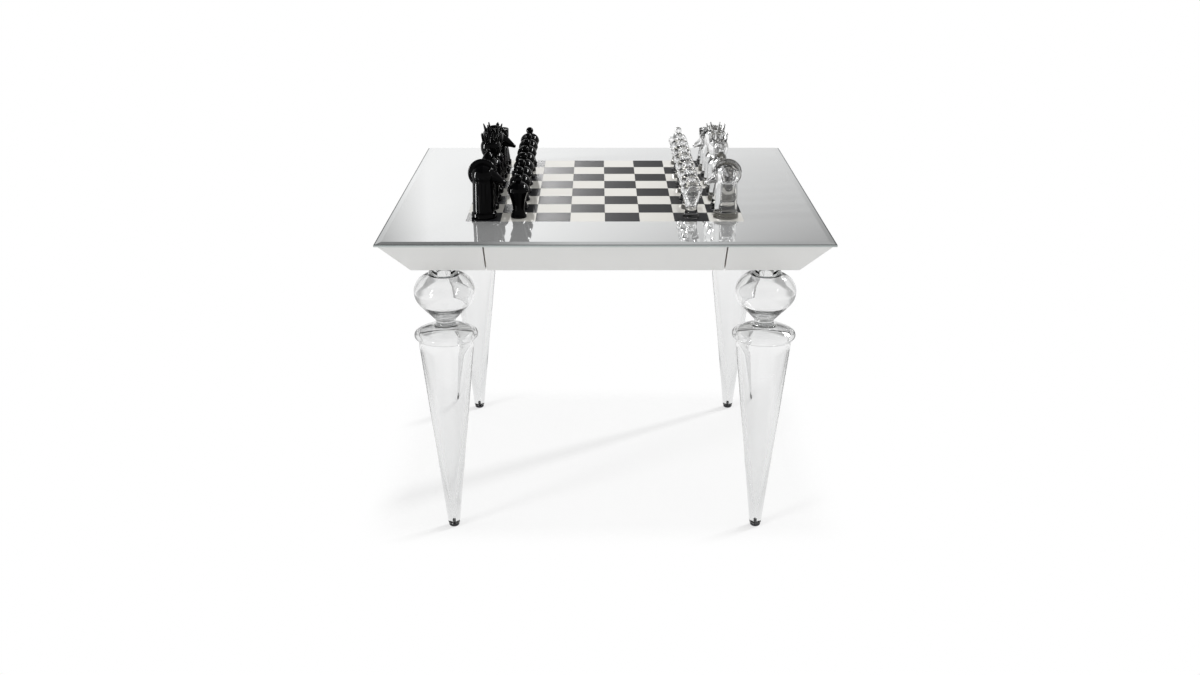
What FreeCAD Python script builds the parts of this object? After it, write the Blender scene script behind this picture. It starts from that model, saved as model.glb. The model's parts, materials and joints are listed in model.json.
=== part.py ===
import FreeCAD, Part
import math
import os

Vector = FreeCAD.Vector

# Frame: millimetres, +Z up, origin on the floor under the middle of the table.
# The drawer opens towards -Y, black men stand on the -X side and clear men on the +X side.

# Glass top and playing board
TOP_SIDE = 1000.0
PLAY_HEIGHT = 750.0
GLASS_THICK = 8.0
BEVEL_WIDTH = 15.0
BEVEL_DROP = 4.0
SQUARE_SIDE = 79.5
SQUARES_PER_SIDE = 8
TILE_THICK = 4.0
TILE_JOINT = 0.2

# Apron that leans in below the top, and the carcass inside it
APRON_INSET = 6.0
APRON_DROP = 73.0
APRON_LEAN = 62.0
APRON_BOARD = 18.0
SUB_TOP_THICK = 18.0
UNDERSIDE_THICK = 6.0
BLOCK_REACH = 52.0
SEAT_GAP = 0.3

# Drawer with a hidden finger notch in the underside
FRONT_POST_WIDTH = 166.0
DRAWER_GAP = 3.0
DRAWER_TOP_GAP = 1.5
PARTITION_LAP = 15.0
DRAWER_LENGTH = 430.0
DRAWER_SIDE_THICK = 12.0
DRAWER_BOTTOM_THICK = 6.0
DRAWER_CLEARANCE = 3.0
DRAWER_BACK_DROP = 6.0
LINING_THICK = 2.0
PARTITION_THICK = 24.0
PARTITION_PAST_DRAWER = 40.0
NOTCH_WIDTH = 240.0
NOTCH_DEPTH = 24.0

# Ball-bearing runners in three members
RUNNER_SPACE = 13.0
RUNNER_HEIGHT = 35.0
RUNNER_LENGTH = 400.0
RUNNER_SETBACK = 20.0
RUNNER_STEEL = 1.2
RUNNER_PLAY = 0.4

# Blown-glass leg, from the apron down
LEG_INSET = 65.5
COLLAR_RADIUS = 33.0
COLLAR_LENGTH = 27.5
BULB_RADIUS = 70.0
BULB_RISE = 41.5
BULB_TOP_TURN = 83.0
BULB_FALL = 30.7
BULB_LOW_TURN = 43.0
BULB_LOW_RADIUS = 57.9
BULB_TAPER = 34.4
NECK_RADIUS = 22.0
NECK_FILLET_UP = 8.3
NECK_FLARE_UP = 3.3
NECK_FILLET_DOWN = 7.7
NECK_FLARE_DOWN = 5.8
NECK_SOLID = 10.5
SHOULDER_FALL = 15.2
RIM_RADIUS = 73.2
RIM_ROUND = 8.0
RIM_TUCK = 4.6
CONE_TOP_RADIUS = 65.2
TIP_RADIUS = 14.0
TIP_BORE_RADIUS = 4.0
TIP_SOLID = 48.0
GLASS_WALL = 4.5
SHOULDER_WALL = 7.0
BULB_FLOOR_DIP = 3.5

# Leg plate, screws and foot
PLATE_SIDE = 80.0
PLATE_CLEARANCE = 0.5
SPIGOT_RADIUS = 18.0
SPIGOT_LENGTH = 10.0
GLUE_FILM = 0.2
SCREW_OFFSET = 29.0
SCREW_RADIUS = 3.0
SCREW_HEAD_RADIUS = 5.6
SCREW_HEAD_HEIGHT = 2.6
SCREW_LENGTH = 30.0
SCREW_CLEARANCE = 0.1
FOOT_RADIUS = 12.5
FOOT_HEIGHT = 10.0
FOOT_PAD_RADIUS = 7.5
FOOT_STEM_LENGTH = 10.0

# Men: a round foot ring and a column shared by the first rank
MAN_FOOT = 29.0
MAN_FOOT_HEIGHT = 14.0
MAN_COLUMN = 26.0
MAN_SHOULDER = 24.5

PAWN_FOOT = 18.5
PAWN_FOOT_ROUND = 1.5
PAWN_WAIST = 14.0
PAWN_WAIST_HEIGHT = 26.0
PAWN_BODY = 25.0
PAWN_BODY_HEIGHT = 62.0
PAWN_NECK = 6.0
PAWN_NECK_HEIGHT = 83.0
PAWN_BALL = 9.5

ROOK_WAIST = 18.5
ROOK_WAIST_HEIGHT = 66.0
ROOK_PARAPET = 23.0
ROOK_PARAPET_HEIGHT = 75.0
ROOK_HEIGHT = 96.0
ROOK_WELL_RADIUS = 15.0
ROOK_WELL_DEPTH = 11.0
ROOK_NOTCH_WIDTH = 8.0

KNIGHT_SHOULDER_HEIGHT = 88.0
KNIGHT_DOME_HEIGHT = 125.0
KNIGHT_MANE_RADIUS = 33.5
KNIGHT_MANE_THICK = 9.0
KNIGHT_MANE_HEIGHT = 103.0
KNIGHT_MANE_SETBACK = 1.0
KNIGHT_MUZZLE_START = 8.0
KNIGHT_MUZZLE_RADIUS = 20.0
KNIGHT_MUZZLE_HEIGHT = 104.0
KNIGHT_MUZZLE_TIP_RADIUS = 4.5
KNIGHT_MUZZLE_TIP_HEIGHT = 82.0
KNIGHT_MUZZLE_REACH = 47.0

BISHOP_SHOULDER_HEIGHT = 58.0
BISHOP_NECK = 14.0
BISHOP_NECK_HEIGHT = 67.0
BISHOP_HEAD = 20.5
BISHOP_HEAD_HEIGHT = 87.0
BISHOP_TIP_HEIGHT = 122.0
BISHOP_BALL = 4.5
BISHOP_SLIT = 4.0
BISHOP_SLIT_FORWARD = 4.0
BISHOP_SLIT_RISE = 12.0
BISHOP_SLIT_TILT = 50.0

ROYAL_SHOULDER_HEIGHT = 74.0
ROYAL_NECK = 14.0
ROYAL_NECK_HEIGHT = 86.0
ROYAL_HEAD = 24.5
ROYAL_HEAD_HEIGHT = 112.0
ROYAL_BROW = 21.0
KING_BROW_HEIGHT = 136.0
QUEEN_BROW_HEIGHT = 127.0
KING_POINTS = 6
QUEEN_POINTS = 9

POINT_RADIUS = 5.0
POINT_TIP_RADIUS = 1.2
POINT_LENGTH = 23.0
POINT_TILT = 18.0
POINT_CROWDING = 0.9
CROWN_BALL = 5.5

# Bulges of arcs: the sagitta as a share of the chord
QUARTER_ROUND = math.tan(math.radians(22.5)) / 2
FULL_ROUND = 0.19
RIM_TOP_ROUND = 0.14
NECK_HOLLOW = -0.165
SOFT_ROUND = 0.09
GENTLE_ROUND = 0.04

# Heights and half widths that follow from the sizes above
apron_top = PLAY_HEIGHT - GLASS_THICK
apron_bottom = apron_top - APRON_DROP
carcass_top = apron_top - SUB_TOP_THICK
carcass_bottom = apron_bottom + UNDERSIDE_THICK
apron_top_half = TOP_SIDE / 2 - APRON_INSET
apron_bottom_half = apron_top_half - APRON_LEAN
board_across = APRON_BOARD * math.hypot(APRON_DROP, APRON_LEAN) / APRON_DROP
leg_axis = apron_bottom_half - LEG_INSET
board_half = SQUARES_PER_SIDE * SQUARE_SIDE / 2
drawer_front_half = apron_bottom_half - FRONT_POST_WIDTH - DRAWER_GAP
partition_inner = drawer_front_half - PARTITION_LAP
drawer_box_half = partition_inner - RUNNER_SPACE
drawer_low = carcass_bottom + DRAWER_CLEARANCE
drawer_high = carcass_top - DRAWER_CLEARANCE - SEAT_GAP
LEG_CORNERS = [("front_left", -1, -1), ("front_right", 1, -1), ("back_left", -1, 1), ("back_right", 1, 1)]


def outer_half(z):
    """Half width of the apron's outer faces at height z."""
    return apron_bottom_half + (z - apron_bottom) * APRON_LEAN / APRON_DROP


def inner_half(z):
    """Half width of the apron's inner faces at height z."""
    return outer_half(z) - board_across


def box(x_range, y_range, z_range):
    """Box between two corners given as ranges."""
    corner = Vector(x_range[0], y_range[0], z_range[0])
    return Part.makeBox(x_range[1] - x_range[0], y_range[1] - y_range[0], z_range[1] - z_range[0], corner)


def slab(low, high, outline_at):
    """Flat-faced solid between the four-cornered outlines at two heights."""
    lower = [Vector(x, y, low) for x, y in outline_at(low)]
    upper = [Vector(x, y, high) for x, y in outline_at(high)]
    rings = [lower, upper]
    for start in range(4):
        end = (start + 1) % 4
        rings.append([lower[start], lower[end], upper[end], upper[start]])
    faces = [Part.Face(Part.makePolygon(ring + ring[:1])) for ring in rings]
    solid = Part.makeSolid(Part.makeShell(faces))
    if solid.Volume < 0:
        solid.reverse()
    return solid


def revolve(outline):
    """Solid of revolution about Z from (radius, height, bulge) corners.

    The bulge shapes the edge that leaves its corner: 0 is straight, positive swells to the right
    of the direction of travel, which is outwards on the way up.
    """
    edges = []
    for index, (radius, height, bulge) in enumerate(outline):
        next_radius, next_height = outline[(index + 1) % len(outline)][:2]
        start = Vector(radius, 0, height)
        end = Vector(next_radius, 0, next_height)
        if bulge == 0:
            edges.append(Part.makeLine(start, end))
            continue
        right = Vector(next_height - height, 0, radius - next_radius)
        middle = (start + end) * 0.5 + right * bulge
        edges.append(Part.Arc(start, middle, end).toShape())
    face = Part.Face(Part.Wire(edges))
    return face.revolve(Vector(0, 0, 0), Vector(0, 0, 1), 360)


def turn_bulge(degrees):
    """Bulge of an arc that turns by an angle from end to end."""
    return math.tan(math.radians(degrees) / 4) / 2


def cap_bulge(radius, height):
    """Bulge of the arc from the rim of a round cap to its top, for a cap that is part of a sphere."""
    sphere = (radius ** 2 + height ** 2) / (2 * height)
    return turn_bulge(math.degrees(math.atan2(radius, sphere - height)))


def mirrored(shape):
    """A shape and its mirror image across the YZ plane."""
    return [shape, shape.mirror(Vector(0, 0, 0), Vector(1, 0, 0))]


def at_legs(shape):
    """Copies of a shape drawn on the Z axis, one on each leg's axis."""
    return [shape.translated(Vector(sx * leg_axis, sy * leg_axis, 0)) for _, sx, sy in LEG_CORNERS]


def glass_top():
    """Bevelled plate with a recess for the squares."""
    half = TOP_SIDE / 2
    bevel_start = PLAY_HEIGHT - BEVEL_DROP
    edge_band = box((-half, half), (-half, half), (apron_top, bevel_start))

    def bevelled(z):
        reach = half - BEVEL_WIDTH * (z - bevel_start) / BEVEL_DROP
        return [(-reach, -reach), (reach, -reach), (reach, reach), (-reach, reach)]

    plate = edge_band.fuse(slab(bevel_start, PLAY_HEIGHT, bevelled)).removeSplitter()
    span = (-board_half, board_half)
    return plate.cut(box(span, span, (PLAY_HEIGHT - TILE_THICK, PLAY_HEIGHT)))


def squares(dark):
    """The dark or the light squares; the near left corner square is dark."""
    side = SQUARE_SIDE - TILE_JOINT
    tiles = []
    for column in range(SQUARES_PER_SIDE):
        for row in range(SQUARES_PER_SIDE):
            if ((column + row) % 2 == 0) != dark:
                continue
            x = -board_half + column * SQUARE_SIDE + TILE_JOINT / 2
            y = -board_half + row * SQUARE_SIDE + TILE_JOINT / 2
            tiles.append(box((x, x + side), (y, y + side), (PLAY_HEIGHT - TILE_THICK, PLAY_HEIGHT)))
    return tiles


def sub_top():
    """Panel under the glass, its edges cut to the apron's slope."""
    def outline(z):
        reach = inner_half(z)
        return [(-reach, -reach), (reach, -reach), (reach, reach), (-reach, reach)]

    return slab(carcass_top, apron_top, outline)


def apron_back():
    """Sloping board with both ends mitred."""
    def outline(z):
        far, near = outer_half(z), inner_half(z)
        return [(-far, far), (far, far), (near, near), (-near, near)]

    return slab(apron_bottom, apron_top, outline)


def apron_front_left():
    """Sloping board with one mitred end and one plain end beside the drawer."""
    end = -drawer_front_half - DRAWER_GAP

    def outline(z):
        far, near = outer_half(z), inner_half(z)
        return [(-far, -far), (end, -far), (end, -near), (-near, -near)]

    return slab(apron_bottom, apron_top, outline)


def corner_block():
    """Hardwood block in the back right corner, bearing on both apron boards, drilled for the leg screws."""
    inner = leg_axis - BLOCK_REACH

    def outline(z):
        reach = inner_half(z)
        return [(inner, inner), (reach, inner), (reach, reach), (inner, reach)]

    block = slab(carcass_bottom, carcass_top, outline)
    for screw_x, screw_y in screw_places():
        place = Vector(leg_axis + screw_x, leg_axis + screw_y, carcass_bottom)
        depth = SCREW_LENGTH - UNDERSIDE_THICK + SCREW_CLEARANCE
        block = block.cut(Part.makeCylinder(SCREW_RADIUS + SCREW_CLEARANCE, depth, place))
    return block


def corner_blocks():
    """The same block turned into each corner."""
    return [corner_block().rotated(Vector(0, 0, 0), Vector(0, 0, 1), 90 * turn) for turn in range(4)]


def underside_panel():
    """Thin panel that closes the carcass below, notched for the leg plates and for fingertips."""
    reach = inner_half(apron_bottom)
    level = (apron_bottom, carcass_bottom)
    panel = box((-reach, reach), (-reach, reach), level)
    corner = (leg_axis - PLATE_SIDE / 2 - PLATE_CLEARANCE, reach)
    for turn in range(4):
        corner_notch = box(corner, corner, level)
        panel = panel.cut(corner_notch.rotated(Vector(0, 0, 0), Vector(0, 0, 1), 90 * turn))
    notch_half = NOTCH_WIDTH / 2
    return panel.cut(box((-notch_half, notch_half), (-reach, -reach + NOTCH_DEPTH), level))


def drawer_partition():
    """Right-hand board that carries a runner; its sloped front end stops the drawer front."""
    inner = partition_inner
    outer = partition_inner + PARTITION_THICK
    back = drawer_back_end() + PARTITION_PAST_DRAWER

    def outline(z):
        front = -inner_half(z) + SEAT_GAP
        return [(inner, front), (outer, front), (outer, back), (inner, back)]

    return slab(carcass_bottom, carcass_top, outline)


def drawer_back_end():
    """Y of the drawer's back face."""
    return -inner_half(drawer_low) + DRAWER_LENGTH


def drawer_front():
    """Piece of the sloping apron that comes forward with the drawer."""
    def outline(z):
        far, near = outer_half(z), inner_half(z)
        half = drawer_front_half
        return [(-half, -far), (half, -far), (half, -near), (-half, -near)]

    return slab(apron_bottom, apron_top - DRAWER_TOP_GAP, outline)


def drawer_side():
    """Right-hand side of the drawer box, its front end cut to the slope of the drawer front."""
    outer = drawer_box_half
    inner = drawer_box_half - DRAWER_SIDE_THICK

    def outline(z):
        front = -inner_half(z)
        return [(inner, front), (outer, front), (outer, drawer_back_end()), (inner, drawer_back_end())]

    return slab(drawer_low, drawer_high, outline)


def drawer_bottom():
    """Bottom between the drawer sides, against the drawer front."""
    half = drawer_box_half - DRAWER_SIDE_THICK

    def outline(z):
        front = -inner_half(z)
        return [(-half, front), (half, front), (half, drawer_back_end()), (-half, drawer_back_end())]

    return slab(drawer_low, drawer_low + DRAWER_BOTTOM_THICK, outline)


def drawer_back():
    """Low back that stands on the bottom between the sides."""
    half = drawer_box_half - DRAWER_SIDE_THICK
    back = drawer_back_end()
    level = (drawer_low + DRAWER_BOTTOM_THICK, drawer_high - DRAWER_BACK_DROP)
    return box((-half, half), (back - DRAWER_SIDE_THICK, back), level)


def drawer_lining():
    """Felt laid on the drawer bottom."""
    half = drawer_box_half - DRAWER_SIDE_THICK
    low = drawer_low + DRAWER_BOTTOM_THICK

    def outline(z):
        front = -inner_half(z)
        back = drawer_back_end() - DRAWER_SIDE_THICK
        return [(-half, front), (half, front), (half, back), (-half, back)]

    return slab(low, low + LINING_THICK, outline)


def runner_channel(web_x, reach_x, half_height):
    """Steel channel along Y on the right-hand side, from its web to the ends of its flanges."""
    middle = (carcass_bottom + carcass_top) / 2
    front = -inner_half(drawer_low) + RUNNER_SETBACK
    length = (front, front + RUNNER_LENGTH)
    inward = math.copysign(1, reach_x - web_x)
    whole = box(sorted((web_x, reach_x)), length, (middle - half_height, middle + half_height))
    hollow_half = half_height - RUNNER_STEEL
    hollow_x = sorted((web_x + inward * RUNNER_STEEL, reach_x))
    return whole.cut(box(hollow_x, length, (middle - hollow_half, middle + hollow_half)))


def runner_outer():
    """Member screwed to the partition."""
    reach = drawer_box_half + RUNNER_STEEL + RUNNER_PLAY
    return runner_channel(partition_inner, reach, RUNNER_HEIGHT / 2)


def runner_middle():
    """Member that rides inside the outer one."""
    step = RUNNER_STEEL + RUNNER_PLAY
    return runner_channel(partition_inner - step, drawer_box_half + step, RUNNER_HEIGHT / 2 - step)


def runner_inner():
    """Member screwed to the drawer side, inside the middle one."""
    step = RUNNER_STEEL + RUNNER_PLAY
    return runner_channel(drawer_box_half, partition_inner - 2 * step, RUNNER_HEIGHT / 2 - 2 * step)


def leg():
    """Blown leg: collar, hollow bulb, solid neck, shoulder with a round rim, and a hollow cone."""
    collar_end = apron_bottom - COLLAR_LENGTH
    bulb_middle = collar_end - BULB_RISE
    bulb_low = bulb_middle - BULB_FALL
    neck_start = bulb_low - BULB_TAPER
    neck = neck_start - NECK_FILLET_UP
    shoulder = neck - NECK_FILLET_DOWN
    rim_start = shoulder - SHOULDER_FALL
    rim = rim_start - RIM_ROUND
    cone_top = rim - RIM_ROUND
    tip = FOOT_HEIGHT
    neck_top_radius = NECK_RADIUS + NECK_FLARE_UP
    shoulder_radius = NECK_RADIUS + NECK_FLARE_DOWN
    bulb_round = turn_bulge(BULB_TOP_TURN)
    bulb_low_round = turn_bulge(BULB_LOW_TURN)

    outside = [
        (TIP_RADIUS, tip, 0),
        (CONE_TOP_RADIUS, cone_top, QUARTER_ROUND),
        (RIM_RADIUS, rim, RIM_TOP_ROUND),
        (RIM_RADIUS - RIM_TUCK, rim_start, GENTLE_ROUND),
        (shoulder_radius, shoulder, NECK_HOLLOW),
        (NECK_RADIUS, neck, -SOFT_ROUND),
        (neck_top_radius, neck_start, 0),
        (BULB_LOW_RADIUS, bulb_low, bulb_low_round),
        (BULB_RADIUS, bulb_middle, bulb_round),
        (COLLAR_RADIUS, collar_end, 0),
        (COLLAR_RADIUS, apron_bottom, 0),
    ]

    bore = SPIGOT_RADIUS + GLUE_FILM
    bulb_floor = neck_start + NECK_SOLID
    bulb_floor_radius = neck_top_radius - GLASS_WALL
    cone_ceiling = shoulder - SHOULDER_WALL
    ceiling_radius = RIM_RADIUS - 2 * GLASS_WALL
    ceiling_edge = rim + GLASS_WALL / 2
    inside = [
        (bore, apron_bottom, 0),
        (bore, collar_end - GLASS_WALL, -bulb_round),
        (BULB_RADIUS - GLASS_WALL, bulb_middle, -bulb_low_round),
        (BULB_LOW_RADIUS - GLASS_WALL, bulb_low, 0),
        (bulb_floor_radius, bulb_floor, -cap_bulge(bulb_floor_radius, BULB_FLOOR_DIP)),
        (0, bulb_floor - BULB_FLOOR_DIP, 0),
        (0, cone_ceiling, -cap_bulge(ceiling_radius, cone_ceiling - ceiling_edge)),
        (ceiling_radius, ceiling_edge, -QUARTER_ROUND),
        (CONE_TOP_RADIUS - GLASS_WALL, cone_top, 0),
        (TIP_BORE_RADIUS, tip + TIP_SOLID, 0),
        (TIP_BORE_RADIUS, tip, 0),
    ]
    return revolve(outside + inside)


def screw_places():
    """The four screws of one leg plate, from the leg's axis."""
    return [(sx * SCREW_OFFSET, sy * SCREW_OFFSET) for sx in (-1, 1) for sy in (-1, 1)]


def screw(extra):
    """Countersunk screw from the plate's face upwards; extra widens it into its own hole."""
    return revolve([
        (0, 0, 0),
        (SCREW_HEAD_RADIUS + extra, 0, 0),
        (SCREW_RADIUS + extra, SCREW_HEAD_HEIGHT, 0),
        (SCREW_RADIUS + extra, SCREW_LENGTH, 0),
        (0, SCREW_LENGTH, 0),
    ])


def leg_plate():
    """Steel plate let into the underside, with a spigot for the leg's collar."""
    half = PLATE_SIDE / 2
    plate = box((-half, half), (-half, half), (apron_bottom, carcass_bottom))
    spigot_start = Vector(0, 0, apron_bottom - SPIGOT_LENGTH)
    plate = plate.fuse(Part.makeCylinder(SPIGOT_RADIUS, SPIGOT_LENGTH, spigot_start))
    for x, y in screw_places():
        plate = plate.cut(screw(SCREW_CLEARANCE).translated(Vector(x, y, apron_bottom)))
    return plate


def leg_screws():
    """Sixteen screws, four to a plate."""
    one_leg = [screw(0).translated(Vector(x, y, apron_bottom)) for x, y in screw_places()]
    return [copy for one in one_leg for copy in at_legs(one)]


def foot_cap():
    """Metal button under the tip, with a stem bonded into the tip's bore."""
    stem = TIP_BORE_RADIUS - GLUE_FILM
    swell = FOOT_RADIUS - FOOT_PAD_RADIUS
    return revolve([
        (0, 0, 0),
        (FOOT_PAD_RADIUS, 0, QUARTER_ROUND),
        (FOOT_RADIUS, swell, 0),
        (FOOT_RADIUS, FOOT_HEIGHT, 0),
        (stem, FOOT_HEIGHT, 0),
        (stem, FOOT_HEIGHT + FOOT_STEM_LENGTH, 0),
        (0, FOOT_HEIGHT + FOOT_STEM_LENGTH, 0),
    ])


def ball(radius, centre):
    """Solid ball."""
    return Part.makeSphere(radius, centre)


def column_outline():
    """Foot ring and start of the column of a first-rank man."""
    toe = MAN_FOOT - MAN_COLUMN
    return [
        (0, 0, 0),
        (MAN_FOOT - toe / 2, 0, QUARTER_ROUND),
        (MAN_FOOT, toe / 2, 0),
        (MAN_FOOT, MAN_FOOT_HEIGHT - toe, SOFT_ROUND),
        (MAN_COLUMN - toe / 4, MAN_FOOT_HEIGHT, 0),
        (MAN_COLUMN, MAN_FOOT_HEIGHT + toe, 0),
    ]


def crown(brow_radius, brow_height, count):
    """Ring of points that lean outwards around a ball."""
    points = [ball(CROWN_BALL, Vector(0, 0, brow_height + CROWN_BALL / 2))]
    seat = brow_radius - POINT_RADIUS
    tilt = math.radians(POINT_TILT)
    width = min(POINT_RADIUS, POINT_CROWDING * math.pi * seat / count + POINT_TIP_RADIUS)
    for index in range(count):
        turn = 2 * math.pi * index / count
        outward = Vector(math.cos(turn), math.sin(turn), 0)
        base = outward * seat + Vector(0, 0, brow_height - POINT_RADIUS / 2)
        along = outward * math.sin(tilt) + Vector(0, 0, math.cos(tilt))
        points.append(Part.makeCone(width, POINT_TIP_RADIUS, POINT_LENGTH, base, along))
    return points


def pawn():
    """Flared foot, narrow waist, egg-shaped body and a ball on top."""
    ball_middle = PAWN_NECK_HEIGHT + math.sqrt(PAWN_BALL ** 2 - PAWN_NECK ** 2)
    ball_turn = math.degrees(math.acos(PAWN_NECK / PAWN_BALL))
    toe = PAWN_FOOT - PAWN_WAIST
    return revolve([
        (0, 0, 0),
        (PAWN_FOOT - PAWN_FOOT_ROUND, 0, QUARTER_ROUND),
        (PAWN_FOOT, PAWN_FOOT_ROUND, 0),
        (PAWN_FOOT, toe, -SOFT_ROUND),
        (PAWN_WAIST, PAWN_WAIST_HEIGHT, -GENTLE_ROUND),
        (PAWN_BODY, PAWN_BODY_HEIGHT, FULL_ROUND),
        (PAWN_NECK, PAWN_NECK_HEIGHT, turn_bulge(ball_turn)),
        (PAWN_BALL, ball_middle, QUARTER_ROUND),
        (0, ball_middle + PAWN_BALL, 0),
    ])


def rook():
    """Tapered tower with a hollowed top and four notches in its parapet."""
    well_floor = ROOK_HEIGHT - ROOK_WELL_DEPTH
    tower = revolve(column_outline() + [
        (ROOK_WAIST, ROOK_WAIST_HEIGHT, -SOFT_ROUND),
        (ROOK_PARAPET, ROOK_PARAPET_HEIGHT, 0),
        (ROOK_PARAPET, ROOK_HEIGHT, 0),
        (ROOK_WELL_RADIUS, ROOK_HEIGHT, 0),
        (ROOK_WELL_RADIUS, well_floor, 0),
        (0, well_floor, 0),
    ])
    across = (-2 * ROOK_PARAPET, 2 * ROOK_PARAPET)
    notch = (-ROOK_NOTCH_WIDTH / 2, ROOK_NOTCH_WIDTH / 2)
    level = (well_floor, 2 * ROOK_HEIGHT)
    return tower.cut(box(across, notch, level)).cut(box(notch, across, level))


def knight():
    """Column with a domed head, a thin round mane along its middle and a wedge-like muzzle."""
    dome = cap_bulge(MAN_SHOULDER, KNIGHT_DOME_HEIGHT - KNIGHT_SHOULDER_HEIGHT)
    body = revolve(column_outline() + [
        (MAN_SHOULDER, KNIGHT_SHOULDER_HEIGHT, dome),
        (0, KNIGHT_DOME_HEIGHT, 0),
    ])
    edge = KNIGHT_MANE_THICK / 2
    mane = revolve([
        (0, -edge, 0),
        (KNIGHT_MANE_RADIUS - edge, -edge, QUARTER_ROUND),
        (KNIGHT_MANE_RADIUS, 0, QUARTER_ROUND),
        (KNIGHT_MANE_RADIUS - edge, edge, 0),
        (0, edge, 0),
    ])
    mane = mane.rotated(Vector(0, 0, 0), Vector(1, 0, 0), 90)
    mane = mane.translated(Vector(-KNIGHT_MANE_SETBACK, 0, KNIGHT_MANE_HEIGHT))
    start = Vector(KNIGHT_MUZZLE_START, 0, KNIGHT_MUZZLE_HEIGHT)
    tip = Vector(KNIGHT_MUZZLE_REACH, 0, KNIGHT_MUZZLE_TIP_HEIGHT)
    along = tip - start
    muzzle = Part.makeCone(KNIGHT_MUZZLE_RADIUS, KNIGHT_MUZZLE_TIP_RADIUS, along.Length, start, along)
    return body.multiFuse([mane, muzzle, ball(KNIGHT_MUZZLE_TIP_RADIUS, tip)])


def bishop():
    """Column, collar and a pointed mitre with a slanting slit and a small ball."""
    body = revolve(column_outline() + [
        (MAN_SHOULDER, BISHOP_SHOULDER_HEIGHT, SOFT_ROUND),
        (BISHOP_NECK, BISHOP_NECK_HEIGHT, SOFT_ROUND),
        (BISHOP_HEAD, BISHOP_HEAD_HEIGHT, SOFT_ROUND),
        (0, BISHOP_TIP_HEIGHT, 0),
    ])
    past_head = 2 * BISHOP_HEAD
    slit = box((0, past_head), (-past_head, past_head), (-BISHOP_SLIT / 2, BISHOP_SLIT / 2))
    slit = slit.rotated(Vector(0, 0, 0), Vector(0, 1, 0), -BISHOP_SLIT_TILT)
    slit = slit.translated(Vector(BISHOP_SLIT_FORWARD, 0, BISHOP_HEAD_HEIGHT + BISHOP_SLIT_RISE))
    return body.cut(slit).fuse(ball(BISHOP_BALL, Vector(0, 0, BISHOP_TIP_HEIGHT)))


def royal(brow_height, points):
    """Column, neck and egg-shaped head under a crown."""
    body = revolve(column_outline() + [
        (MAN_SHOULDER, ROYAL_SHOULDER_HEIGHT, SOFT_ROUND),
        (ROYAL_NECK, ROYAL_NECK_HEIGHT, SOFT_ROUND),
        (ROYAL_HEAD, ROYAL_HEAD_HEIGHT, SOFT_ROUND),
        (ROYAL_BROW, brow_height, 0),
        (0, brow_height, 0),
    ])
    return body.multiFuse(crown(ROYAL_BROW, brow_height, points))


def standing(shape, column, row, faces_right):
    """A man on its square, counted from the near left corner, facing the other side."""
    if not faces_right:
        shape = shape.rotated(Vector(0, 0, 0), Vector(0, 0, 1), 180)
    x = -board_half + (column - 0.5) * SQUARE_SIDE
    y = -board_half + (row - 0.5) * SQUARE_SIDE
    return shape.translated(Vector(x, y, PLAY_HEIGHT))


def men():
    """Both sets of men, with the knights on rows 1 and 6 as in the photograph."""
    first_rank = [
        ("knight_near", knight()),
        ("rook_near", rook()),
        ("bishop_near", bishop()),
        ("queen", royal(QUEEN_BROW_HEIGHT, QUEEN_POINTS)),
        ("king", royal(KING_BROW_HEIGHT, KING_POINTS)),
        ("knight_far", knight()),
        ("bishop_far", bishop()),
        ("rook_far", rook()),
    ]
    pawn_shape = pawn()
    nodes = {}
    for colour, back_column, pawn_column, faces_right in (("black", 1, 2, True), ("clear", 8, 7, False)):
        for row, (name, shape) in enumerate(first_rank, start=1):
            nodes[f"{colour}_{name}"] = [standing(shape, back_column, row, faces_right)]
            nodes[f"{colour}_pawn_{row}"] = [standing(pawn_shape, pawn_column, row, faces_right)]
    return nodes


def table():
    """Every fixed piece and the drawer, as lists of solids by node name."""
    side_board = apron_back()
    front_left = apron_front_left()
    nodes = {
        "glass_top": [glass_top()],
        "dark_squares": squares(dark=True),
        "light_squares": squares(dark=False),
        "sub_top": [sub_top()],
        "apron_back": [side_board],
        "apron_left": [side_board.rotated(Vector(0, 0, 0), Vector(0, 0, 1), 90)],
        "apron_right": [side_board.rotated(Vector(0, 0, 0), Vector(0, 0, 1), -90)],
        "apron_front_left": [front_left],
        "apron_front_right": [front_left.mirror(Vector(0, 0, 0), Vector(1, 0, 0))],
        "corner_blocks": corner_blocks(),
        "underside_panel": [underside_panel()],
        "drawer_partitions": mirrored(drawer_partition()),
        "drawer_front": [drawer_front()],
        "drawer_sides": mirrored(drawer_side()),
        "drawer_back": [drawer_back()],
        "drawer_bottom": [drawer_bottom()],
        "drawer_lining": [drawer_lining()],
        "runner_outer": mirrored(runner_outer()),
        "runner_middle": mirrored(runner_middle()),
        "runner_inner": mirrored(runner_inner()),
        "leg_plates": at_legs(leg_plate()),
        "leg_screws": leg_screws(),
        "foot_caps": at_legs(foot_cap()),
    }
    for (corner, _, _), glass in zip(LEG_CORNERS, at_legs(leg())):
        nodes[f"leg_{corner}"] = [glass]
    return nodes


def main():
    os.makedirs("parts", exist_ok=True)
    nodes = {**table(), **men()}
    for name, solids in nodes.items():
        shape = solids[0] if len(solids) == 1 else Part.makeCompound(solids)
        shape.exportStep(f"parts/{name}.step")
    print(f"{len(nodes)} nodes, {sum(len(solids) for solids in nodes.values())} solids")
    for name, solids in nodes.items():
        for solid in solids:
            if not solid.isValid() or len(solid.Solids) != 1:
                print("check", name, solid.ShapeType, len(solid.Solids), solid.isValid())


main()
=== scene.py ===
# %% [markdown]
# # A chess table with glass legs
#
# The table is a mirror-like square top with a flush board, a pale apron that leans in and holds a drawer,
# four blown-glass legs, and two sets of glass men. The solid parts arrive as a fixed frame in metres, so
# this lesson is about finishes, glass and light: nothing in the frame is moved or resized.

# %% Load the frame
import json
import math

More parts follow.
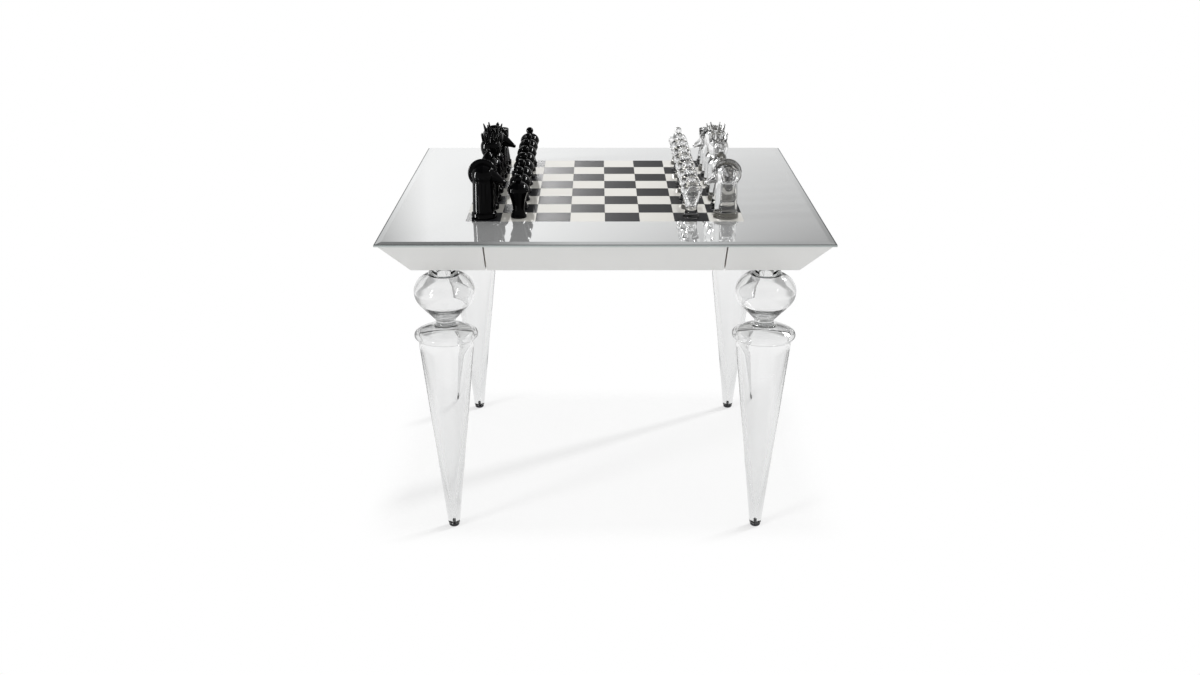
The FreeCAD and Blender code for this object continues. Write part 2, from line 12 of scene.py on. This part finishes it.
import bmesh
import bpy
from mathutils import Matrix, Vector

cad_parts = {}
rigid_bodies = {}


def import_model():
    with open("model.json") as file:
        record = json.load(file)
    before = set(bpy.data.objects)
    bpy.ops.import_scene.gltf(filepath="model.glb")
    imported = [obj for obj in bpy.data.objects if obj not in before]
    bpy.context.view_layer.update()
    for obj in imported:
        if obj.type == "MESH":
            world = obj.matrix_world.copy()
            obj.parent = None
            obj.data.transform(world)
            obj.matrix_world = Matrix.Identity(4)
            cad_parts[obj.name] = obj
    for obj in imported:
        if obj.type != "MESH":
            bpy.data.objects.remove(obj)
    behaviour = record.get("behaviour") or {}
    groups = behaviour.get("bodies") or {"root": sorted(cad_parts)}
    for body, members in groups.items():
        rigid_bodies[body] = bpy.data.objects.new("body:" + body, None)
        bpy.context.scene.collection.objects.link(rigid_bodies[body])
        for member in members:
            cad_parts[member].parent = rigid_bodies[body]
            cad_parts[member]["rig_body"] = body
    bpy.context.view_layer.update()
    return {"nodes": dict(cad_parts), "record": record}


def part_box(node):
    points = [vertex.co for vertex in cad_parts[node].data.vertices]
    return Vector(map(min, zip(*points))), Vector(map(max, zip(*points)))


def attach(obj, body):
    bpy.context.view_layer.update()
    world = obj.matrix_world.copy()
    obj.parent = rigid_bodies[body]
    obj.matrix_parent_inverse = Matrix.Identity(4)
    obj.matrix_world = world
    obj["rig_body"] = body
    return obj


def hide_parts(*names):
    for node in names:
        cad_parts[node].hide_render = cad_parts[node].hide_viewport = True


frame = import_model()
nodes = frame["nodes"]

# %% [markdown]
# ## Small helpers
#
# Colours are written as sRGB hex, as a colour picker shows them, and Blender wants linear light. Texture
# nodes want a scale per metre, while finishes are known by the size of their grain in millimetres. One
# function adds a node with its settings and its links, and a few short ones build on it, so that each
# material below reads like a list.

# %% Colour and units
MM = 0.001
LITRES_PER_CUBIC_METRE = 1000


def linear(hex_colour):
    """Linear red, green, blue and alpha of an sRGB hex colour."""
    channels = [int(hex_colour[start:start + 2], 16) / 255 for start in (1, 3, 5)]
    return [c / 12.92 if c <= 0.04045 else ((c + 0.055) / 1.055) ** 2.4 for c in channels] + [1.0]


def grey(level):
    """Neutral colour of a linear level."""
    return (level, level, level, 1.0)


def per_metre(size_mm):
    """Texture scale whose features are about this many millimetres across."""
    return 1 / (size_mm * MM)


# %% Nodes
def add(tree, kind, sockets=None, **settings):
    """New node with its settings; a socket's value is a number, a colour or another node's output."""
    node = tree.nodes.new(kind)
    for name, value in settings.items():
        setattr(node, name, value)
    for name, value in (sockets or {}).items():
        if isinstance(value, bpy.types.NodeSocket):
            tree.links.new(value, node.inputs[name])
        else:
            node.inputs[name].default_value = value
    return node


def calc(tree, operation, first, second=0.0):
    """One step of arithmetic."""
    return add(tree, "ShaderNodeMath", {0: first, 1: second}, operation=operation).outputs[0]


def mix(tree, factor, first, second):
    """Number between two others."""
    return add(tree, "ShaderNodeMix", {"Factor": factor, "A": first, "B": second}).outputs[0]


def tint(tree, factor, first, second):
    """Colour between two others, each a hex colour or an output."""
    ends = [linear(end) if isinstance(end, str) else end for end in (first, second)]
    return add(tree, "ShaderNodeMix", {"Factor": factor, "A": ends[0], "B": ends[1]},
               data_type="RGBA").outputs["Result"]


def spread(tree, value, low, high):
    """Straight map from 0 and 1 to two other levels."""
    return add(tree, "ShaderNodeMapRange", {"Value": value, "To Min": low, "To Max": high}).outputs["Result"]


def ramp(tree, value, start, end, before=0.0, after=1.0):
    """Smooth step from one level to another; a start past the end turns the step round."""
    sockets = {"Value": value, "From Min": start, "From Max": end, "To Min": before, "To Max": after}
    return add(tree, "ShaderNodeMapRange", sockets, interpolation_type="SMOOTHSTEP").outputs["Result"]


def noise(tree, place, size_mm, detail, distortion=0.0):
    """Even noise with features of a real size."""
    return add(tree, "ShaderNodeTexNoise", {"Vector": place, "Scale": per_metre(size_mm), "Detail": detail,
                                            "Distortion": distortion}).outputs["Fac"]


def stretched(tree, place, scale):
    """Coordinates scaled along the three axes."""
    return add(tree, "ShaderNodeMapping", {"Vector": place, "Scale": scale}).outputs["Vector"]


# %% Materials
def start_material(name, **values):
    """New material with its tree, its shader and the object's own coordinates."""
    material = bpy.data.materials.new(name)
    material.use_nodes = True
    tree = material.node_tree
    shader = tree.nodes["Principled BSDF"]
    for socket, value in values.items():
        shader.inputs[socket.replace("_", " ")].default_value = value
    place = add(tree, "ShaderNodeTexCoord").outputs["Object"]
    return material, tree, shader, place


def feed(tree, shader, **outputs):
    """Link outputs to the shader's sockets."""
    for socket, output in outputs.items():
        tree.links.new(output, shader.inputs[socket.replace("_", " ")])


def bump(tree, height, strength, depth_mm):
    """Normal of a skin that rises by a real depth."""
    return add(tree, "ShaderNodeBump", {"Height": height, "Strength": strength,
                                        "Distance": depth_mm * MM}).outputs["Normal"]


# %% [markdown]
# ## Silvered glass
#
# The top is float glass silvered underneath, so it is a mirror with a veil of grey: a metallic value under
# one leaves some diffuse light in it, which keeps the reflections of black men from going fully black. The
# bevel is polished more sharply and is a little darker. The cut edge and a narrow line along the outside of
# the bevel aren't silvered: there the glass shows its own grey. The direction of the surface and the distance
# from the middle tell them apart.

# %% Silvered float glass
BARE_LINE = 3 * MM
BEVEL_UPWARD = 0.5
FLAT_UPWARD = 0.99


def silvered_glass():
    material, tree, shader, place = start_material("silvered_float_glass", Specular_IOR_Level=0.1)
    normal = add(tree, "ShaderNodeNewGeometry").outputs["Normal"]
    upward = add(tree, "ShaderNodeSeparateXYZ", {0: normal}).outputs["Z"]
    middle = add(tree, "ShaderNodeSeparateXYZ", {0: place}).outputs
    reach = calc(tree, "MAXIMUM", calc(tree, "ABSOLUTE", middle["X"]), calc(tree, "ABSOLUTE", middle["Y"]))
    covered = calc(tree, "LESS_THAN", reach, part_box("glass_top")[1].x - BARE_LINE)
    sloping = calc(tree, "GREATER_THAN", upward, BEVEL_UPWARD)
    silvered = calc(tree, "MULTIPLY", sloping, covered)
    level = calc(tree, "GREATER_THAN", upward, FLAT_UPWARD)
    bare = tint(tree, sloping, "#b0b6b5", "#2c3030")
    rim = tint(tree, silvered, bare, "#e3e5e5")
    rim_metal = calc(tree, "MULTIPLY", silvered, 0.9)
    veil = noise(tree, place, 120, 3.0)
    feed(tree, shader, Base_Color=tint(tree, level, rim, "#ebecec"),
         Metallic=mix(tree, level, rim_metal, 0.76),
         Roughness=spread(tree, veil, 0.015, 0.05))
    return material


# %% [markdown]
# ## Board squares
#
# The squares are glass tiles painted on their backs. The dark tile has a satin face, which blurs what it
# reflects into an even grey that falls off across the board. The cream one is polished, part mirror and
# part paint.

# %% Back-painted glass tiles
def dark_tile_glass():
    material, tree, shader, place = start_material("black_painted_glass", IOR=1.5, Specular_IOR_Level=0.022)
    cloud = noise(tree, place, 40, 4.0)
    feed(tree, shader, Base_Color=tint(tree, cloud, "#1a1a1c", "#26272a"),
         Roughness=spread(tree, cloud, 0.35, 0.39))
    return material


def cream_tile_glass():
    material, tree, shader, place = start_material("cream_painted_glass", Metallic=0.35)
    cloud = noise(tree, place, 40, 4.0)
    feed(tree, shader, Base_Color=tint(tree, cloud, "#f6f3ea", "#fbf9f2"),
         Roughness=spread(tree, cloud, 0.03, 0.08))
    return material


# %% [markdown]
# ## Lacquer, wood, felt and steel
#
# The apron is sprayed with a pale grey lacquer, whose skin has a faint orange peel. Behind it are plywood
# and beech, a felt lining and zinc-plated steel, which show only when the drawer is open or from below.

# %% Sprayed lacquer
def sprayed_lacquer(name, pale, dim, rough_low, rough_high):
    material, tree, shader, place = start_material(name, Coat_Weight=0.25, Coat_Roughness=0.12)
    drift = noise(tree, place, 150, 2.0)
    peel = noise(tree, place, 3, 1.0)
    feed(tree, shader, Base_Color=tint(tree, drift, dim, pale),
         Roughness=spread(tree, drift, rough_low, rough_high),
         Normal=bump(tree, peel, 0.03, 0.2))
    return material


# %% Planed wood
WAVE_IN_GRAINS = 36


def planed_wood(name, early, late, grain_mm, stretch):
    """Wood whose grain runs along Y, stretched so many times longer than it is wide.

    A wave repeats about three times in its length, so the rings are about eleven grains wide.
    """
    material, tree, shader, place = start_material(name, Roughness=0.5)
    along = stretched(tree, place, (1, 1 / stretch, 1))
    grain = noise(tree, along, grain_mm, 6.0, 0.6)
    ring_scale = per_metre(WAVE_IN_GRAINS * grain_mm)
    rings = add(tree, "ShaderNodeTexWave", {"Vector": along, "Scale": ring_scale, "Distortion": 7.0,
                                            "Detail": 3.0})
    figure = calc(tree, "MULTIPLY", grain, rings.outputs["Fac"])
    feed(tree, shader, Base_Color=tint(tree, figure, early, late), Normal=bump(tree, grain, 0.15, 0.3))
    return material


# %% Felt
def pressed_felt():
    material, tree, shader, place = start_material("pressed_wool_felt", Roughness=0.95, Sheen_Weight=0.4,
                                                   Sheen_Roughness=0.5)
    fibre = noise(tree, place, 1.2, 6.0, 1.5)
    feed(tree, shader, Base_Color=tint(tree, fibre, "#1d1e20", "#45474a"), Normal=bump(tree, fibre, 0.6, 0.5))
    return material


# %% Zinc-plated steel
def zinc_plate():
    material, tree, shader, place = start_material("zinc_plated_steel", Metallic=1.0)
    streak = noise(tree, stretched(tree, place, (8, 0.4, 8)), 12, 5.0)
    feed(tree, shader, Base_Color=tint(tree, streak, "#a9adb1", "#d3d6d9"),
         Roughness=spread(tree, streak, 0.25, 0.45))
    return material


# %% Dark nickel
def dark_nickel():
    material, tree, shader, place = start_material("polished_dark_nickel", Metallic=1.0)
    wear = noise(tree, place, 5, 4.0)
    feed(tree, shader, Base_Color=tint(tree, wear, "#2a2a2c", "#4a4a4d"),
         Roughness=spread(tree, wear, 0.12, 0.25))
    return material


# %% [markdown]
# ## Clear and black glass
#
# Blown glass is fire polished, so it has no roughness to speak of, but its skin is never quite even: a slow
# noise in the bump bends what shows through it. A little absorption in the volume darkens the long ways
# through the wall, which draws the thin grey outlines that clear glass has on white. The men are solid, so
# theirs is weaker. Lamps would leave a black shadow behind glass, so shadow rays see a thin grey sheet.
#
# Black glass shows little but reflections, and those of a white studio would turn it grey. So its reflection
# is set low, and lamps of its own bring the highlights back.

# %% Clear glass
def clear_glass(name, ripple_mm, ripple, absorb):
    material, tree, shader, place = start_material(name, Roughness=0.0, IOR=1.5, Transmission_Weight=1.0)
    shader.inputs["Base Color"].default_value = linear("#fcfcfc")
    feed(tree, shader, Normal=bump(tree, noise(tree, place, ripple_mm, 2.0), ripple, 1.0))
    path = add(tree, "ShaderNodeLightPath")
    sheet = add(tree, "ShaderNodeBsdfTransparent", {"Color": linear("#e4e4e4")})
    surface = add(tree, "ShaderNodeMixShader", {0: path.outputs["Is Shadow Ray"], 1: shader.outputs["BSDF"],
                                                2: sheet.outputs["BSDF"]})
    body = add(tree, "ShaderNodeVolumeAbsorption", {"Color": linear("#bcbebe"), "Density": absorb})
    output = tree.nodes["Material Output"]
    tree.links.new(surface.outputs["Shader"], output.inputs["Surface"])
    tree.links.new(body.outputs["Volume"], output.inputs["Volume"])
    return material


# %% Polished black glass
def black_glass():
    material, tree, shader, place = start_material("polished_black_glass", IOR=1.5, Specular_IOR_Level=0.06)
    skin = noise(tree, place, 14, 2.0)
    feed(tree, shader, Base_Color=tint(tree, skin, "#010101", "#040405"),
         Roughness=spread(tree, skin, 0.02, 0.07),
         Normal=bump(tree, skin, 0.03, 1.0))
    return material


# %% [markdown]
# ## One finish for each material slot
#
# The frame's record names a slot for every node. A table from slot to finish dresses all of them at once,
# and the pieces made further down take theirs from the same table. Only the clear men differ from their
# slot: they are moulded, while the legs are blown.

# %% Dress the frame
finishes = {
    "mirror_glass": silvered_glass(),
    "dark_glass": dark_tile_glass(),
    "cream_glass": cream_tile_glass(),
    "lacquer": sprayed_lacquer("pale_grey_lacquer", "#e6e6e4", "#e0e0de", rough_low=0.3, rough_high=0.38),
    "plywood": planed_wood("birch_plywood", "#d9bd8f", "#b48f5e", grain_mm=4, stretch=14),
    "hardwood": planed_wood("planed_beech", "#c79a6b", "#a06f44", grain_mm=3, stretch=10),
    "underside_paint": sprayed_lacquer("satin_underside_paint", "#cfcfcd", "#c6c6c4", rough_low=0.45,
                                       rough_high=0.55),
    "felt": pressed_felt(),
    "zinc_steel": zinc_plate(),
    "clear_glass": clear_glass("blown_clear_glass", ripple_mm=60, ripple=0.06, absorb=14.0),
    "black_glass": black_glass(),
    "dark_metal": dark_nickel(),
}
moulded_glass = clear_glass("moulded_clear_glass", ripple_mm=25, ripple=0.1, absorb=1.5)
slot_of = {part["node"]: part["material_slot"] for part in frame["record"]["subparts"]}
finish_of = {name: moulded_glass if name.startswith("clear_") else finishes[slot_of[name]] for name in nodes}
for name, part in nodes.items():
    part.data.materials.clear()
    part.data.materials.append(finish_of[name])
print("finishes", len(finishes) + 1)

# %% [markdown]
# ## Softened edges on boards and plates
#
# A sawn board never has a knife edge: sanding and lacquer leave a small round that catches light. The frame's
# meshes are loose triangles, so a Weld and a planar Decimate come before the Bevel in the modifier stack.

# %% Round the edges of the flat pieces
EDGE_ROUND = {"lacquer": 0.6, "plywood": 0.5, "hardwood": 0.6, "underside_paint": 0.4,
              "dark_glass": 0.12, "cream_glass": 0.12}
WELD_GAP = 0.001 * MM
FLAT_DEGREES = 0.5
EDGE_DEGREES = 10
ROUND_SEGMENTS = 2


def soften(part, radius_mm):
    weld = part.modifiers.new("weld", "WELD")
    weld.merge_threshold = WELD_GAP
    flat = part.modifiers.new("planar", "DECIMATE")
    flat.decimate_type = "DISSOLVE"
    flat.angle_limit = math.radians(FLAT_DEGREES)
    bevel = part.modifiers.new("rounded_edge", "BEVEL")
    bevel.width = radius_mm * MM
    bevel.segments = ROUND_SEGMENTS
    bevel.limit_method = "ANGLE"
    bevel.angle_limit = math.radians(EDGE_DEGREES)


softened = [name for name in nodes if slot_of[name] in EDGE_ROUND]
for name in softened:
    soften(nodes[name], EDGE_ROUND[slot_of[name]])
print("softened", len(softened))

# %% [markdown]
# ## Legs spun from their own section
#
# Glass shows every facet, so each leg is turned afresh on a fine lathe. The section comes from the frame
# itself: a copy of the leg is cut by a plane through its axis, one half of the cut line is kept, and a full
# spin of that line makes an even surface with its hollow bulb and hollow cone.

# %% Turn a round piece
LATHE_STEPS = 128
JOIN_GAP = 0.002 * MM
CUT_GAP = 0.0005 * MM
SEAM_GAP = 0.01 * MM
LEG_SHARP_DEGREES = 40


def merged_copy(name):
    """The node's triangles as one joined mesh."""
    mesh = bmesh.new()
    mesh.from_mesh(nodes[name].data)
    bmesh.ops.remove_doubles(mesh, verts=mesh.verts, dist=JOIN_GAP)
    return mesh


def stand_for(name, mesh, sharp_degrees):
    """Make the mesh a smooth piece that takes the node's place, finish and motion."""
    data = bpy.data.meshes.new(name + "_piece")
    mesh.to_mesh(data)
    mesh.free()
    data.shade_smooth()
    data.set_sharp_from_angle(angle=math.radians(sharp_degrees))
    piece = bpy.data.objects.new(name + "_piece", data)
    bpy.context.scene.collection.objects.link(piece)
    data.materials.append(finish_of[name])
    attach(piece, nodes[name]["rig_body"])
    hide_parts(name)
    return piece


def turned(name):
    """The node turned again on its own vertical axis, from the section on its +X side."""
    low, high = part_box(name)
    axis = Vector(((low.x + high.x) / 2, (low.y + high.y) / 2, 0))
    mesh = merged_copy(name)
    for normal in ((0, 1, 0), (1, 0, 0)):
        keep_line = normal[1] == 1
        bmesh.ops.bisect_plane(mesh, geom=mesh.verts[:] + mesh.edges[:] + mesh.faces[:], dist=CUT_GAP,
                               plane_co=axis, plane_no=normal, clear_inner=True, clear_outer=keep_line)
    section = len(mesh.edges)
    bmesh.ops.spin(mesh, geom=mesh.verts[:] + mesh.edges[:], cent=axis, axis=(0, 0, 1), dvec=(0, 0, 0),
                   angle=2 * math.pi, steps=LATHE_STEPS, use_merge=True, use_duplicate=False)
    bmesh.ops.remove_doubles(mesh, verts=mesh.verts, dist=SEAM_GAP)
    bmesh.ops.recalc_face_normals(mesh, faces=mesh.faces)
    return mesh, section


leg_names = [name for name in nodes if name.startswith("leg_") and slot_of[name] == "clear_glass"]
for name in leg_names:
    mesh, section = turned(name)
    open_edges = sum(not edge.is_manifold for edge in mesh.edges)
    volume = mesh.calc_volume(signed=True)
    piece = stand_for(name, mesh, LEG_SHARP_DEGREES)
    print(name, "section edges", section, "faces", len(piece.data.polygons), "open edges", open_edges,
          "litres", round(volume * LITRES_PER_CUBIC_METRE, 3))

# %% [markdown]
# ## Men, feet and leg plates
#
# The men are moulded and polished, so a joined copy of each with smooth shading is enough. Edges sharper
# than the given angle stay crisp, as where a crown's points leave the head.

# %% Smooth copies
MEN_SHARP_DEGREES = 38
smooth_names = [name for name in nodes if name.startswith(("black_", "clear_"))] + ["foot_caps", "leg_plates"]
for name in smooth_names:
    stand_for(name, merged_copy(name), MEN_SHARP_DEGREES)
print("smooth copies", len(smooth_names))

# %% [markdown]
# ## Floor
#
# The ground is white and keeps only a soft grey patch of floor under the table, with long faint shadows
# in it. So the floor glows white, and inside the patch it glows less, which paints shade under the table,
# and has a diffuse share that takes the real shadows. Glass and mirrors see the same floor with a grey
# strip on the left and on the right: clear glass bends those strips into its rims, which gives it dark
# outlines. All other rays meet plain paper, so that the floor lights the apron from below without making it
# too bright.

# %% Floor
FLOOR_REACH = 40.0
PAPER_TONE = 0.43
PATCH_TONE = 0.2
# Glow inside the patch, below the white outside it: painted shade under the table.
PATCH_PAINTED_SHADE_GLOW = 0.595
PATCH_SIDE = 0.48
PATCH_FRONT = -0.36
PATCH_BACK = 0.4
PATCH_EDGE = 0.12
STRIP_START = 0.85
STRIP_END = 1.7
STRIP_EDGE = 0.2
STRIP_GLOW = 0.48


def glow_and_shade(tree):
    """The floor as cameras, mirrors and glass see it."""
    place = add(tree, "ShaderNodeSeparateXYZ", {0: add(tree, "ShaderNodeTexCoord").outputs["Object"]}).outputs
    aside = calc(tree, "ABSOLUTE", place["X"])
    painted_and_cast_shade_patch = ramp(tree, aside, PATCH_SIDE + PATCH_EDGE, PATCH_SIDE)
    for start, end in ((PATCH_FRONT - PATCH_EDGE, PATCH_FRONT), (PATCH_BACK + PATCH_EDGE, PATCH_BACK)):
        painted_and_cast_shade_patch = calc(tree, "MULTIPLY", painted_and_cast_shade_patch, ramp(tree, place["Y"], start, end))
    strip = calc(tree, "MULTIPLY", ramp(tree, aside, STRIP_START, STRIP_START + STRIP_EDGE),
                 ramp(tree, aside, STRIP_END + STRIP_EDGE, STRIP_END))
    camera_ray = add(tree, "ShaderNodeLightPath").outputs["Is Camera Ray"]
    hidden_strip = calc(tree, "MAXIMUM", calc(tree, "SUBTRACT", strip, camera_ray))
    # The lower glow inside the patch is painted shade under the table; the diffuse share below takes the real
    # shadows.
    level = mix(tree, hidden_strip, mix(tree, painted_and_cast_shade_patch, 1.0, PATCH_PAINTED_SHADE_GLOW), STRIP_GLOW)
    glow = add(tree, "ShaderNodeEmission", {"Color": grey(1.0), "Strength": level})
    tone = tint(tree, painted_and_cast_shade_patch, grey(0.0), grey(PATCH_TONE))
    shade = add(tree, "ShaderNodeBsdfDiffuse", {"Color": tone})
    return add(tree, "ShaderNodeAddShader", {0: glow.outputs[0], 1: shade.outputs[0]}).outputs[0]


def make_floor():
    mesh = bmesh.new()
    bmesh.ops.create_grid(mesh, x_segments=1, y_segments=1, size=FLOOR_REACH)
    data = bpy.data.meshes.new("floor")
    mesh.to_mesh(data)
    mesh.free()
    floor = bpy.data.objects.new("floor", data)
    bpy.context.scene.collection.objects.link(floor)
    material = bpy.data.materials.new("white_studio_floor")
    material.use_nodes = True
    tree = material.node_tree
    tree.nodes.remove(tree.nodes["Principled BSDF"])
    path = add(tree, "ShaderNodeLightPath").outputs
    mirrored = calc(tree, "MAXIMUM", path["Is Glossy Ray"], path["Is Transmission Ray"])
    seen = calc(tree, "MAXIMUM", mirrored, path["Is Camera Ray"])
    paper = add(tree, "ShaderNodeBsdfDiffuse", {"Color": grey(PAPER_TONE)}).outputs[0]
    surface = add(tree, "ShaderNodeMixShader", {0: seen, 1: paper, 2: glow_and_shade(tree)})
    tree.links.new(surface.outputs[0], tree.nodes["Material Output"].inputs["Surface"])
    data.materials.append(material)
    return floor


floor = make_floor()
print("floor", FLOOR_REACH * 2, "m")

# %% [markdown]
# ## World
#
# The world is white to the camera and an even soft light to plain surfaces. To mirrors and glass it is a
# studio, described by two angles: the turn from straight ahead, to the right, and the rise above the horizon.
#
# - A bright backdrop lies ahead. Above it the light falls off, slowly to the right and quickly to the left,
#   and dims once more higher up, which shows near the front edge of the top.
# - Wings that fade to grey stand on both sides of the backdrop, and they show in the side bevels.
# - A ceiling, dark on the left, shows in the front bevel.
# - Everywhere else is an even pale room.

# %% World
SOFT_FILL = 0.8
BACKDROP = 0.95
FLAG = 0.1
FADE_RISE = 9.0
RIGHT_FADE_TURN = -3.0
RIGHT_FADE = 0.0073
LEFT_FADE_TURN = -7.5
LEFT_FADE = 0.0426
DIM = 0.83
DIM_RISE = (14, 17)
FLAG_RISE = (33, 40)
ROOM = 0.75
ROOM_TURN = (22, 34)
WING_LEFT = (1.1, 0.4)
WING_RIGHT = (0.78, 0.3)
WING_FADE = (12, 17.5)
WING_TURN = (10, 12, 19, 22)
WING_RISE = (12, 10)
CEILING_LEFT = 0.11
CEILING = 0.55
CEILING_RIGHT = 0.4
CEILING_LEFT_TURN = (-9, -1)
CEILING_RIGHT_TURN = (2, 13)
CEILING_RISE = (18, 40)


def window(tree, value, start, full, fading, end):
    """1 between two edges, with soft steps on both sides."""
    return calc(tree, "MULTIPLY", ramp(tree, value, start, full), ramp(tree, value, end, fading))


def studio_light(tree):
    """Level of the studio in each direction."""
    direction = add(tree, "ShaderNodeTexCoord").outputs["Generated"]
    ray = add(tree, "ShaderNodeSeparateXYZ", {0: direction}).outputs
    turn = calc(tree, "DEGREES", calc(tree, "ARCTAN2", ray["X"], ray["Y"]))
    rise = calc(tree, "DEGREES", calc(tree, "ARCSINE", ray["Z"]))
    sideways = calc(tree, "ABSOLUTE", turn)

    right = calc(tree, "MAXIMUM", calc(tree, "SUBTRACT", turn, RIGHT_FADE_TURN))
    left = calc(tree, "MAXIMUM", calc(tree, "SUBTRACT", LEFT_FADE_TURN, turn))
    right_fade = calc(tree, "MULTIPLY", right, RIGHT_FADE)
    left_fade = calc(tree, "MULTIPLY", left, LEFT_FADE)
    fade = calc(tree, "ADD", right_fade, left_fade)
    lifted = calc(tree, "MAXIMUM", calc(tree, "SUBTRACT", rise, FADE_RISE))
    faded = calc(tree, "SUBTRACT", BACKDROP, calc(tree, "MULTIPLY", fade, lifted))
    dimmed = calc(tree, "MULTIPLY", faded, ramp(tree, rise, *DIM_RISE, 1.0, DIM))
    backdrop = mix(tree, ramp(tree, rise, *FLAG_RISE), calc(tree, "MAXIMUM", dimmed, FLAG), BACKDROP)

    room = mix(tree, ramp(tree, sideways, *ROOM_TURN), backdrop, ROOM)
    wing = calc(tree, "MULTIPLY", window(tree, sideways, *WING_TURN), ramp(tree, rise, *WING_RISE))
    left_wing = ramp(tree, sideways, *WING_FADE, *WING_LEFT)
    right_wing = ramp(tree, sideways, *WING_FADE, *WING_RIGHT)
    wing_level = mix(tree, calc(tree, "GREATER_THAN", turn), left_wing, right_wing)
    winged = mix(tree, wing, room, wing_level)

    overhead = calc(tree, "MINIMUM", ramp(tree, turn, *CEILING_LEFT_TURN, CEILING_LEFT, CEILING),
                    ramp(tree, turn, *CEILING_RIGHT_TURN, CEILING, CEILING_RIGHT))
    ceiling = mix(tree, ramp(tree, rise, *CEILING_RISE), BACKDROP, overhead)
    return calc(tree, "MINIMUM", winged, ceiling)


def make_world():
    world = bpy.data.worlds.new("studio")
    bpy.context.scene.world = world
    world.use_nodes = True
    tree = world.node_tree
    tree.nodes.clear()
    path = add(tree, "ShaderNodeLightPath").outputs
    mirrored = calc(tree, "MAXIMUM", path["Is Glossy Ray"], path["Is Transmission Ray"])
    unseen = mix(tree, mirrored, SOFT_FILL, studio_light(tree))
    strength = mix(tree, path["Is Camera Ray"], unseen, 1.0)
    background = add(tree, "ShaderNodeBackground", {"Color": grey(1.0), "Strength": strength})
    output = add(tree, "ShaderNodeOutputWorld")
    tree.links.new(background.outputs[0], output.inputs["Surface"])


make_world()
print("world", SOFT_FILL)

# %% [markdown]
# ## Lamps
#
# Each lamp is linked to what it is for. Two soft ones light everything but the black men. Black glass shows
# nothing but highlights, so those men have lamps of their own: a tall strip far to the left draws their
# columns, and a wide box over the right shoulder draws their round shoulders. The strip also shines on the
# top, because the lower half of its highlight comes by way of that mirror. A panel far behind the table
# shines on the dark squares only, and its blurred reflection fades from left to right. Two low distant lights
# reach only the floor, where the legs stop them: one from the right rear, a weaker one from the left front.

# %% Lamps
BOARD = (0, 0, 0.75)
BLACK_MEN = (-0.28, -0.28, 0.8)


def softbox(name, place, aim, width, height, watts):
    """Rectangular lamp that looks at a point."""
    data = bpy.data.lights.new(name, "AREA")
    data.shape = "RECTANGLE"
    data.size = width
    data.size_y = height
    data.energy = watts
    lamp = bpy.data.objects.new(name, data)
    bpy.context.scene.collection.objects.link(lamp)
    lamp.location = place
    lamp.rotation_euler = (Vector(aim) - Vector(place)).to_track_quat("-Z", "Y").to_euler()
    return lamp


def distant_light(name, strength, turn_degrees, rise_degrees, spread_degrees):
    """Sun-like lamp that comes from a turn to the right of straight ahead and a rise above the horizon."""
    data = bpy.data.lights.new(name, "SUN")
    data.energy = strength
    data.angle = math.radians(spread_degrees)
    lamp = bpy.data.objects.new(name, data)
    bpy.context.scene.collection.objects.link(lamp)
    lamp.rotation_euler = (math.radians(90 - rise_degrees), 0, math.radians(180 - turn_degrees))
    return lamp


def shine_only_on(lamp, pieces):
    """Let a lamp light only these pieces."""
    lit = bpy.data.collections.new(lamp.name + "_receivers")
    for piece in pieces:
        lit.objects.link(piece)
    lamp.light_linking.receiver_collection = lit


black_men = [bpy.data.objects[name + "_piece"] for name in nodes if name.startswith("black_")]
other_pieces = [piece for piece in bpy.data.objects if piece.type == "MESH" and piece not in black_men]
key = softbox("key_from_right_rear", (2.6, 2.4, 3.0), BOARD, width=0.8, height=0.8, watts=25)
shine_only_on(key, other_pieces)
strip = softbox("strip_from_left", (-2.2, -2.0, 1.6), BOARD, width=0.25, height=1.4, watts=14)
shine_only_on(strip, other_pieces)
tall_strip = softbox("tall_strip_on_black_men", (-3.2, -0.58, 1.0), BLACK_MEN, width=0.3, height=2.0,
                     watts=260)
shine_only_on(tall_strip, black_men + [nodes["glass_top"]])
shoulder_light = softbox("shoulder_light_on_black_men", (2.4, 1.0, 3.0), BOARD, width=2.4, height=0.4,
                         watts=240)
shine_only_on(shoulder_light, black_men)
square_light = softbox("panel_on_dark_squares", (-0.9, 8.0, 2.75), BOARD, width=1.0, height=1.4, watts=135)
shine_only_on(square_light, [nodes["dark_squares"]])

rear_sun = distant_light("low_light_from_right_rear", 8.5, turn_degrees=56, rise_degrees=15,
                         spread_degrees=5)
shine_only_on(rear_sun, [floor])
front_sun = distant_light("low_light_from_left_front", 4.0, turn_degrees=232, rise_degrees=14,
                          spread_degrees=12)
shine_only_on(front_sun, [floor])
print("lamps", len(bpy.data.lights))

# %% [markdown]
# ## Camera
#
# The viewpoint was worked out from the table's corners, board and feet in the photograph: a normal lens at
# the eye level of someone standing, a little over three metres away and looking down by twenty degrees.

# %% Camera
CAMERA_PLACE = (-0.0155, -3.247, 1.5403)
CAMERA_PITCH = math.radians(20.1)
CAMERA_YAW = math.radians(-0.08)
CAMERA_LENS = 39.77
SENSOR_WIDTH = 36.0

camera_data = bpy.data.cameras.new("camera")
camera_data.sensor_width = SENSOR_WIDTH
camera_data.lens = CAMERA_LENS
camera = bpy.data.objects.new("camera", camera_data)
bpy.context.scene.collection.objects.link(camera)
camera.location = CAMERA_PLACE
camera.rotation_euler = (math.pi / 2 - CAMERA_PITCH, 0, CAMERA_YAW)
bpy.context.scene.camera = camera
bpy.context.scene.view_settings.view_transform = "Standard"
print("camera", CAMERA_LENS, "mm")
